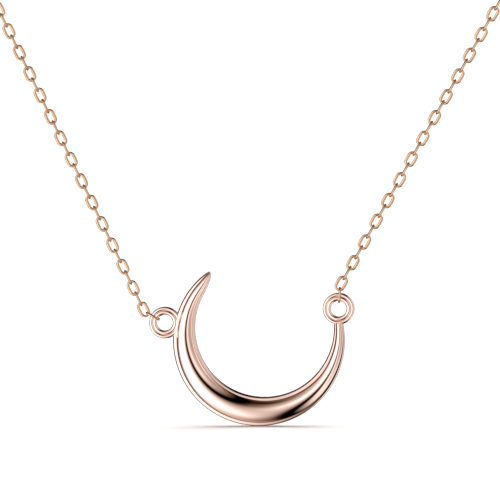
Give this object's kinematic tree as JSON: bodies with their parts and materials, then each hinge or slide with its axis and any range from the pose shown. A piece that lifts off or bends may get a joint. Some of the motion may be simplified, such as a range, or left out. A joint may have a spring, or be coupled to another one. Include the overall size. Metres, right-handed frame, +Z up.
{
  "type": "pendant necklace",
  "caption": "Crescent moon pendant held by an eye at each end in the V of a fine cable chain, with a spring ring clasp and an extender, for wearing around the neck.",
  "frame": {"origin": "centre of the neck opening, in the plane in which the neck chain lies", "axes": "+Z up out of the neck opening, -Y towards the front where the pendant hangs, +X to the right as seen from the front"},
  "size_m": [0.1104, 0.0964, 0.1022],
  "materials": {
    "rose_gold": "high polish rose gold plate",
    "chain_gold": "bright drawn wire, rose gold plate of a warmer tone",
    "clasp_gold": "polished rose gold plate"
  },
  "bodies": {
    "neck_chain": {"shoulder_left": "chain_gold", "shoulder_right": "chain_gold", "side_left": "chain_gold", "side_right": "chain_gold", "nape_left": "chain_gold", "nape_right": "chain_gold", "end_ring": "clasp_gold", "clasp_ring": "clasp_gold", "clasp_loop": "clasp_gold", "clasp_jump_ring": "clasp_gold"},
    "run_7": {"run_7_left": "chain_gold", "run_7_right": "chain_gold"},
    "run_6": {"run_6_left": "chain_gold", "run_6_right": "chain_gold"},
    "run_5": {"run_5_left": "chain_gold", "run_5_right": "chain_gold"},
    "run_4": {"run_4_left": "chain_gold", "run_4_right": "chain_gold"},
    "run_3": {"run_3_left": "chain_gold", "run_3_right": "chain_gold"},
    "run_2": {"run_2_left": "chain_gold", "run_2_right": "chain_gold"},
    "run_1": {"run_1_left": "chain_gold", "run_1_right": "chain_gold"},
    "end_links": {"end_link_left": "chain_gold", "end_link_right": "chain_gold"},
    "pendant": {"crescent_front": "rose_gold", "crescent_back": "rose_gold", "eye_left": "rose_gold", "eye_right": "rose_gold"},
    "clasp_bolt": {"clasp_bolt": "clasp_gold"},
    "extender_1": {"extender_1": "clasp_gold"},
    "extender_2": {"extender_2": "clasp_gold"},
    "extender_3": {"extender_3": "clasp_gold"},
    "extender_4": {"extender_4": "clasp_gold"},
    "tag_ring": {"tag_ring": "clasp_gold"},
    "tag": {"tag": "clasp_gold"}
  },
  "joints": [
    {"name": "run_7_fold", "type": "hinge", "parent": "neck_chain", "child": "run_7", "pos_m": [-0.00032, -0.04608, -0.01044], "axis": [-1, 0, -0.0034], "range_deg": [-12, 25]},
    {"name": "run_6_fold", "type": "hinge", "parent": "run_7", "child": "run_6", "pos_m": [-0.001, -0.04608, -0.03252], "axis": [-0.9999, 0, -0.0139], "range_deg": [-12, 25]},
    {"name": "run_5_fold", "type": "hinge", "parent": "run_6", "child": "run_5", "pos_m": [-0.00155, -0.04608, -0.05019], "axis": [-0.9996, 0, -0.0283], "range_deg": [-12, 25]},
    {"name": "run_4_fold", "type": "hinge", "parent": "run_5", "child": "run_4", "pos_m": [-0.00196, -0.04608, -0.06344], "axis": [-0.9989, 0, -0.0471], "range_deg": [-12, 25]},
    {"name": "run_3_fold", "type": "hinge", "parent": "run_4", "child": "run_3", "pos_m": [-0.00223, -0.04608, -0.07227], "axis": [-0.9977, 0, -0.068], "range_deg": [-12, 25]},
    {"name": "run_2_fold", "type": "hinge", "parent": "run_3", "child": "run_2", "pos_m": [-0.00244, -0.04608, -0.0789], "axis": [-0.9957, 0, -0.0929], "range_deg": [-12, 25]},
    {"name": "run_1_fold", "type": "hinge", "parent": "run_2", "child": "run_1", "pos_m": [-0.00257, -0.04608, -0.08331], "axis": [-0.993, 0, -0.1178], "range_deg": [-12, 25]},
    {"name": "end_link_fold", "type": "hinge", "parent": "run_1", "child": "end_links", "pos_m": [-0.00244, -0.04608, -0.08566], "axis": [-0.9923, 0, -0.1235], "range_deg": [-12, 25]},
    {"name": "pendant_swing", "type": "hinge", "parent": "end_links", "child": "pendant", "pos_m": [-0.00215, -0.04608, -0.08618], "axis": [-0.994, 0, -0.109], "range_deg": [-20, 22]},
    {"name": "clasp_bolt_slide", "type": "hinge", "parent": "neck_chain", "child": "clasp_bolt", "pos_m": [-0.0007, 0.04608, 0], "axis": [0, 1, 0], "range_deg": [0, 44], "stiffness_Nm_per_rad": 0.0001, "springref_deg": -34.38},
    {"name": "extender_1_swing", "type": "hinge", "parent": "neck_chain", "child": "extender_1", "pos_m": [-0.00399, 0.04778, 0], "axis": [1, 0, 0], "range_deg": [-30, 40]},
    {"name": "extender_2_swing", "type": "hinge", "parent": "extender_1", "child": "extender_2", "pos_m": [-0.00399, 0.04778, -0.01111], "axis": [1, 0, 0], "range_deg": [-30, 40]},
    {"name": "extender_3_swing", "type": "hinge", "parent": "extender_2", "child": "extender_3", "pos_m": [-0.00399, 0.04778, -0.02227], "axis": [1, 0, 0], "range_deg": [-30, 40]},
    {"name": "extender_4_swing", "type": "hinge", "parent": "extender_3", "child": "extender_4", "pos_m": [-0.00399, 0.04778, -0.03343], "axis": [1, 0, 0], "range_deg": [-30, 40]},
    {"name": "tag_ring_swing", "type": "hinge", "parent": "extender_4", "child": "tag_ring", "pos_m": [-0.00399, 0.04778, -0.04459], "axis": [1, 0, 0], "range_deg": [-40, 40]},
    {"name": "tag_swing", "type": "hinge", "parent": "tag_ring", "child": "tag", "pos_m": [-0.00399, 0.04778, -0.04625], "axis": [0, 1, 0], "range_deg": [-35, 35]}
  ]
}
